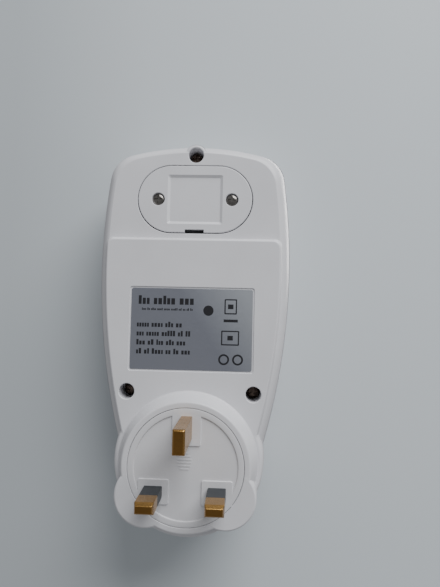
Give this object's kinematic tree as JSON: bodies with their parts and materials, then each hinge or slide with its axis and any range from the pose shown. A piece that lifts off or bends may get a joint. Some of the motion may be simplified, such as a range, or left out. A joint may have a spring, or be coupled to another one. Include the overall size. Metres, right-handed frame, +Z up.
{
  "type": "plug in power meter",
  "caption": "Flat rounded case with a three-pin mains plug on the back, and a display, keys and shuttered outlet on the front.",
  "frame": {"origin": "midway between the line and neutral pins, on the pin face", "axes": "+Y out along the pins towards the wall, +Z up towards the display end, -Y out of the front, +X to the right seen from the front"},
  "size_m": [0.073, 0.0649, 0.1469],
  "materials": {
    "case_white": "off-white moulded plastic, fine satin",
    "plate_white": "white moulded plastic",
    "screw_steel": "zinc-plated steel",
    "brass": "bright brass, lightly rubbed",
    "sleeve_grey": "dark slate insulating sleeve",
    "label_silver": "silver-grey foil sticker",
    "inner_plastic": "black plastic",
    "cell_steel": "bright can",
    "contact_metal": "phosphor bronze strip",
    "wire_red": "insulated wire",
    "lens": "clear moulded window",
    "lcd_glass": "grey-green display glass",
    "elastomer": "pink and black layered strip",
    "board_green": "solder-masked board",
    "key_grey": "grey keycap",
    "capacitor_yellow": "film capacitor box",
    "capacitor_blue": "dipped blue coating",
    "shunt_alloy": "resistance alloy strip",
    "ribbon_grey": "flat ribbon",
    "print_dark": "dark printed ink"
  },
  "bodies": {
    "case": {"rear_shell": "case_white", "front_shell": "case_white", "case_screws": "screw_steel", "pin_plate": "plate_white", "earth_pin": "brass", "line_pin": "brass", "neutral_pin": "brass", "line_pin_sleeve": "sleeve_grey", "neutral_pin_sleeve": "sleeve_grey", "rating_label": "label_silver", "battery_tray": "inner_plastic", "button_cells": "cell_steel", "battery_contacts": "contact_metal", "battery_wires": "wire_red", "display_lens": "lens", "display_panel": "lcd_glass", "display_frame": "plate_white", "contact_strips": "elastomer", "display_board": "board_green", "display_board_screws": "screw_steel", "tact_switches": "inner_plastic", "main_board": "board_green", "main_board_spacers": "inner_plastic", "main_board_screws": "screw_steel", "metering_chip": "inner_plastic", "film_capacitor": "capacitor_yellow", "electrolytic_capacitors": "capacitor_blue", "varistor": "capacitor_blue", "shunt": "shunt_alloy", "ribbon_cable": "ribbon_grey", "outlet_face": "case_white", "shutter_spring": "screw_steel", "shutter_guide": "plate_white", "contact_carrier": "inner_plastic", "line_contact": "contact_metal", "neutral_contact": "contact_metal", "earth_contact": "contact_metal", "line_strip": "contact_metal", "neutral_strip": "contact_metal", "earth_strip": "contact_metal"},
    "battery_lid": {"battery_cover": "case_white", "battery_cover_screws": "screw_steel"},
    "shutter": {"shutter": "plate_white"},
    "key_a": {"key_1": "key_grey", "key_plunger_1": "plate_white"},
    "key_b": {"key_2": "key_grey", "key_plunger_2": "plate_white"},
    "key_c": {"key_3": "key_grey", "key_plunger_3": "plate_white"},
    "key_d": {"key_4": "key_grey", "key_plunger_4": "plate_white"}
  },
  "joints": [
    {"name": "battery_lid_lift", "type": "slide", "parent": "case", "child": "battery_lid", "axis": [0, 1, 0], "range_m": [0, 0.015]},
    {"name": "shutter_slide", "type": "slide", "parent": "case", "child": "shutter", "axis": [0, 0, -1], "range_m": [0, 0.0055], "stiffness_N_per_m": 120, "springref_m": -0.001, "deforming": ["shutter_spring"]},
    {"name": "key_a_press", "type": "slide", "parent": "case", "child": "key_a", "axis": [0, 1, 0], "range_m": [0, 0.0008], "stiffness_N_per_m": 400, "springref_m": -0.0005},
    {"name": "key_b_press", "type": "slide", "parent": "case", "child": "key_b", "axis": [0, 1, 0], "range_m": [0, 0.0008], "stiffness_N_per_m": 400, "springref_m": -0.0005},
    {"name": "key_c_press", "type": "slide", "parent": "case", "child": "key_c", "axis": [0, 1, 0], "range_m": [0, 0.0008], "stiffness_N_per_m": 400, "springref_m": -0.0005},
    {"name": "key_d_press", "type": "slide", "parent": "case", "child": "key_d", "axis": [0, 1, 0], "range_m": [0, 0.0008], "stiffness_N_per_m": 400, "springref_m": -0.0005}
  ]
}
